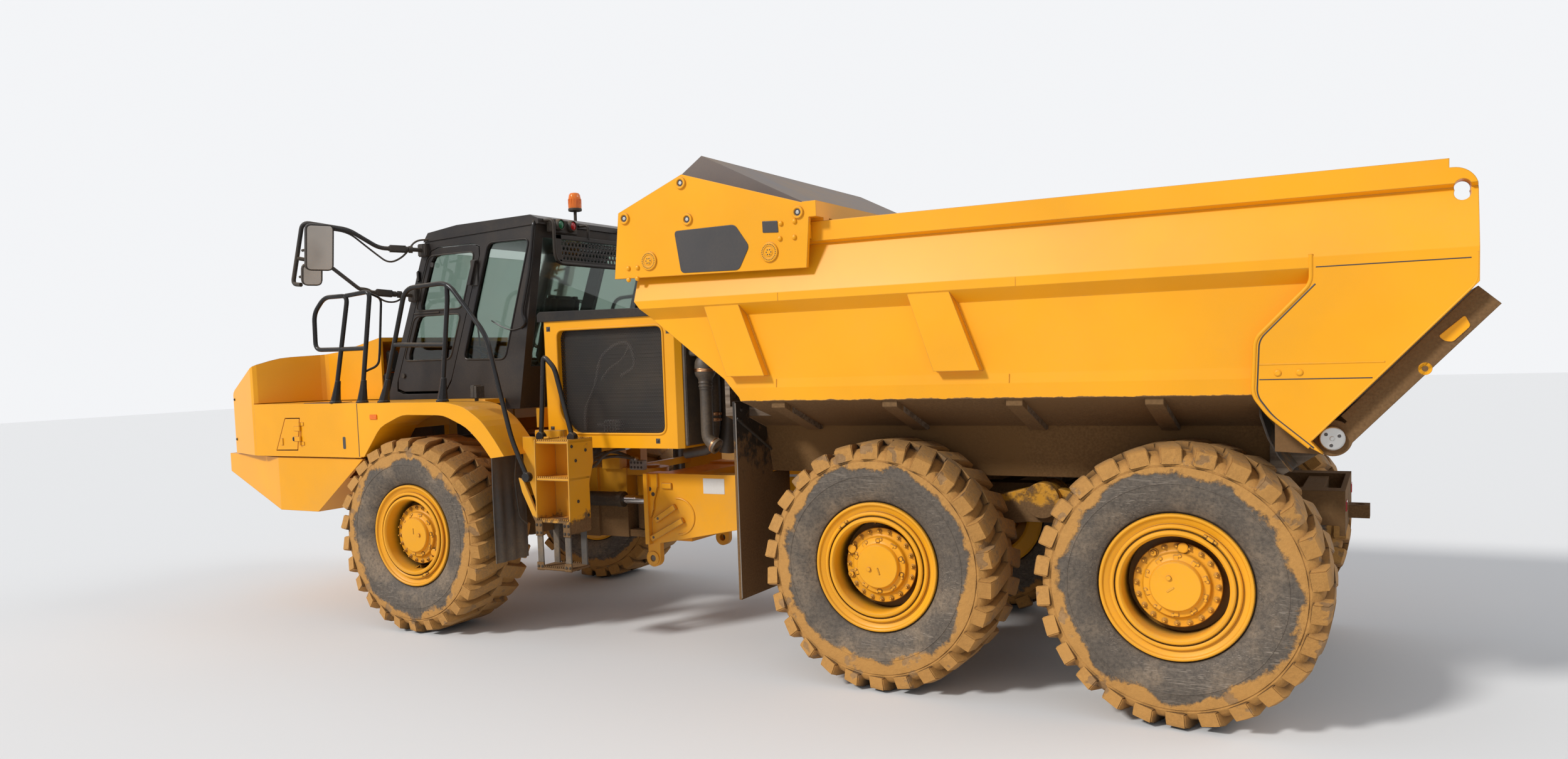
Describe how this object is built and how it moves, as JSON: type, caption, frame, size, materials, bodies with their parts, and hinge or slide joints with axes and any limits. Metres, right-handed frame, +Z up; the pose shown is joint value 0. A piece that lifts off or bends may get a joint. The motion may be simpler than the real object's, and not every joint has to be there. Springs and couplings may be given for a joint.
{
  "type": "articulated ejector dump truck",
  "caption": "Six-wheel-drive articulated dump truck with a hinged hitch, tilting hood, opening cab door and a fixed body emptied by a sliding ejector blade.",
  "frame": {"origin": "on the ground under the middle of the truck's box", "axes": "+X to the truck's front, +Y to its left, +Z up"},
  "size_m": [10.1644, 3.4346, 3.75],
  "materials": {
    "yellow_paint": "semi-gloss machine enamel, dusty",
    "black_paint": "satin",
    "tyre_rubber": "dusty, mud on the tread",
    "flap_rubber": "dusty",
    "rod_chrome": "polished",
    "bright_steel": "machined",
    "engine_iron": "painted grey",
    "cab_plastic": "grained",
    "seat_fabric": "woven",
    "tinted_glass": "clear tinted",
    "mirror_shell": "grained",
    "beacon": "clear orange",
    "cover_steel": "dull grey",
    "mesh_black": "perforated"
  },
  "bodies": {
    "tractor": {"front_axle": "yellow_paint", "tractor_frame": "yellow_paint", "bumper": "yellow_paint", "side_panels": "yellow_paint", "fenders": "yellow_paint", "steps": "yellow_paint", "side_tank": "yellow_paint", "engine": "engine_iron", "cab_shell": "black_paint", "cab_roof": "black_paint", "cab_glass": "tinted_glass", "seat": "seat_fabric", "controls": "cab_plastic", "handrails": "black_paint", "mirrors": "mirror_shell", "lamps": "beacon", "roof_guard": "black_paint", "cooler_cowl": "yellow_paint", "cooler_cover": "black_paint", "cooler_core": "mesh_black", "exhaust": "black_paint", "front_flaps": "flap_rubber"},
    "hitch": {"hitch_casting": "yellow_paint"},
    "rear_unit": {"rear_frame": "yellow_paint", "centre_axle": "yellow_paint", "rear_axle": "yellow_paint", "walking_beams": "yellow_paint", "dump_body": "yellow_paint", "eject_barrel": "black_paint", "mud_flaps": "flap_rubber"},
    "hood": {"hood": "yellow_paint"},
    "hatch": {"side_hatch": "yellow_paint"},
    "door": {"cab_door": "black_paint", "door_glass": "tinted_glass"},
    "ejector": {"ejector": "yellow_paint", "ejector_cover": "cover_steel", "eject_rod": "rod_chrome"},
    "stage_one": {"eject_stage_one": "bright_steel"},
    "stage_two": {"eject_stage_two": "bright_steel"},
    "stage_three": {"eject_stage_three": "bright_steel"},
    "tailgate": {"tailgate": "yellow_paint"},
    "steer_barrel_left": {"steer_barrel_left": "black_paint"},
    "steer_barrel_right": {"steer_barrel_right": "black_paint"},
    "steer_rod_left": {"steer_rod_left": "rod_chrome"},
    "steer_rod_right": {"steer_rod_right": "rod_chrome"},
    "wheel_front_left": {"tyre_front_left": "tyre_rubber", "rim_front_left": "yellow_paint"},
    "wheel_front_right": {"tyre_front_right": "tyre_rubber", "rim_front_right": "yellow_paint"},
    "wheel_centre_left": {"tyre_centre_left": "tyre_rubber", "rim_centre_left": "yellow_paint"},
    "wheel_centre_right": {"tyre_centre_right": "tyre_rubber", "rim_centre_right": "yellow_paint"},
    "wheel_rear_left": {"tyre_rear_left": "tyre_rubber", "rim_rear_left": "yellow_paint"},
    "wheel_rear_right": {"tyre_rear_right": "tyre_rubber", "rim_rear_right": "yellow_paint"}
  },
  "joints": [
    {"name": "articulation", "type": "hinge", "parent": "tractor", "child": "hitch", "pos_m": [0.96, 0, 0.95], "axis": [0, 0, 1], "range_deg": [-45, 45]},
    {"name": "oscillation", "type": "hinge", "parent": "hitch", "child": "rear_unit", "pos_m": [0.5, 0, 0.95], "axis": [1, 0, 0], "range_deg": [-15, 15]},
    {"name": "spin_front_left", "type": "hinge", "parent": "tractor", "child": "wheel_front_left", "pos_m": [2.36, 1.175, 0.8], "axis": [0, 1, 0], "continuous": true},
    {"name": "spin_front_right", "type": "hinge", "parent": "tractor", "child": "wheel_front_right", "pos_m": [2.36, -1.175, 0.8], "axis": [0, 1, 0], "continuous": true},
    {"name": "spin_centre_left", "type": "hinge", "parent": "rear_unit", "child": "wheel_centre_left", "pos_m": [-1.78, 1.175, 0.8], "axis": [0, 1, 0], "continuous": true},
    {"name": "spin_centre_right", "type": "hinge", "parent": "rear_unit", "child": "wheel_centre_right", "pos_m": [-1.78, -1.175, 0.8], "axis": [0, 1, 0], "continuous": true},
    {"name": "spin_rear_left", "type": "hinge", "parent": "rear_unit", "child": "wheel_rear_left", "pos_m": [-3.6, 1.175, 0.8], "axis": [0, 1, 0], "continuous": true},
    {"name": "spin_rear_right", "type": "hinge", "parent": "rear_unit", "child": "wheel_rear_right", "pos_m": [-3.6, -1.175, 0.8], "axis": [0, 1, 0], "continuous": true},
    {"name": "hood_tilt", "type": "hinge", "parent": "tractor", "child": "hood", "pos_m": [4.862, 0, 1.45], "axis": [0, 1, 0], "range_deg": [0, 60]},
    {"name": "hatch_swing", "type": "hinge", "parent": "tractor", "child": "hatch", "pos_m": [3.655, 1.43, 1.6], "axis": [0, 0, 1], "range_deg": [0, 110]},
    {"name": "door_swing", "type": "hinge", "parent": "tractor", "child": "door", "pos_m": [3.16, 0.812, 1.96], "axis": [-0.3836, 0, 0.9235], "range_deg": [-68, 0]},
    {"name": "eject_slide", "type": "slide", "parent": "rear_unit", "child": "ejector", "axis": [-1, 0, 0], "range_m": [0, 3.2]},
    {"name": "stage_one_slide", "type": "slide", "parent": "rear_unit", "child": "stage_one", "axis": [-1, 0, 0], "range_m": [0, 0.8]},
    {"name": "stage_two_slide", "type": "slide", "parent": "rear_unit", "child": "stage_two", "axis": [-1, 0, 0], "range_m": [0, 1.6]},
    {"name": "stage_three_slide", "type": "slide", "parent": "rear_unit", "child": "stage_three", "axis": [-1, 0, 0], "range_m": [0, 2.4]},
    {"name": "tailgate_drop", "type": "hinge", "parent": "rear_unit", "child": "tailgate", "pos_m": [-4.39, 0, 1.639], "axis": [0, -1, 0], "range_deg": [0, 65]},
    {"name": "steer_turn_left", "type": "hinge", "parent": "tractor", "child": "steer_barrel_left", "pos_m": [1.6, 0.34, 1], "axis": [0, 0, 1], "range_deg": [-9.1, 9.1]},
    {"name": "steer_stroke_left", "type": "slide", "parent": "steer_barrel_left", "child": "steer_rod_left", "axis": [-0.9989, -0.0467, 0], "range_m": [-0.234, 0.234]},
    {"name": "steer_turn_right", "type": "hinge", "parent": "tractor", "child": "steer_barrel_right", "pos_m": [1.6, -0.34, 1], "axis": [0, 0, 1], "range_deg": [-9.1, 9.1]},
    {"name": "steer_stroke_right", "type": "slide", "parent": "steer_barrel_right", "child": "steer_rod_right", "axis": [-0.9989, 0.0467, 0], "range_m": [-0.234, 0.234]}
  ],
  "couplings": [
    {"joint": "stage_one_slide", "follows": "eject_slide", "ratio": 0.25},
    {"joint": "stage_two_slide", "follows": "eject_slide", "ratio": 0.5},
    {"joint": "stage_three_slide", "follows": "eject_slide", "ratio": 0.75},
    {"joint": "tailgate_drop", "follows": "eject_slide", "rad_per_m": 0.35397},
    {"joint": "steer_turn_left", "follows": "articulation", "ratio": 0.2},
    {"joint": "steer_turn_right", "follows": "articulation", "ratio": 0.2},
    {"joint": "steer_stroke_left", "follows": "articulation", "m_per_rad": 0.2939},
    {"joint": "steer_stroke_right", "follows": "articulation", "m_per_rad": -0.2939}
  ]
}
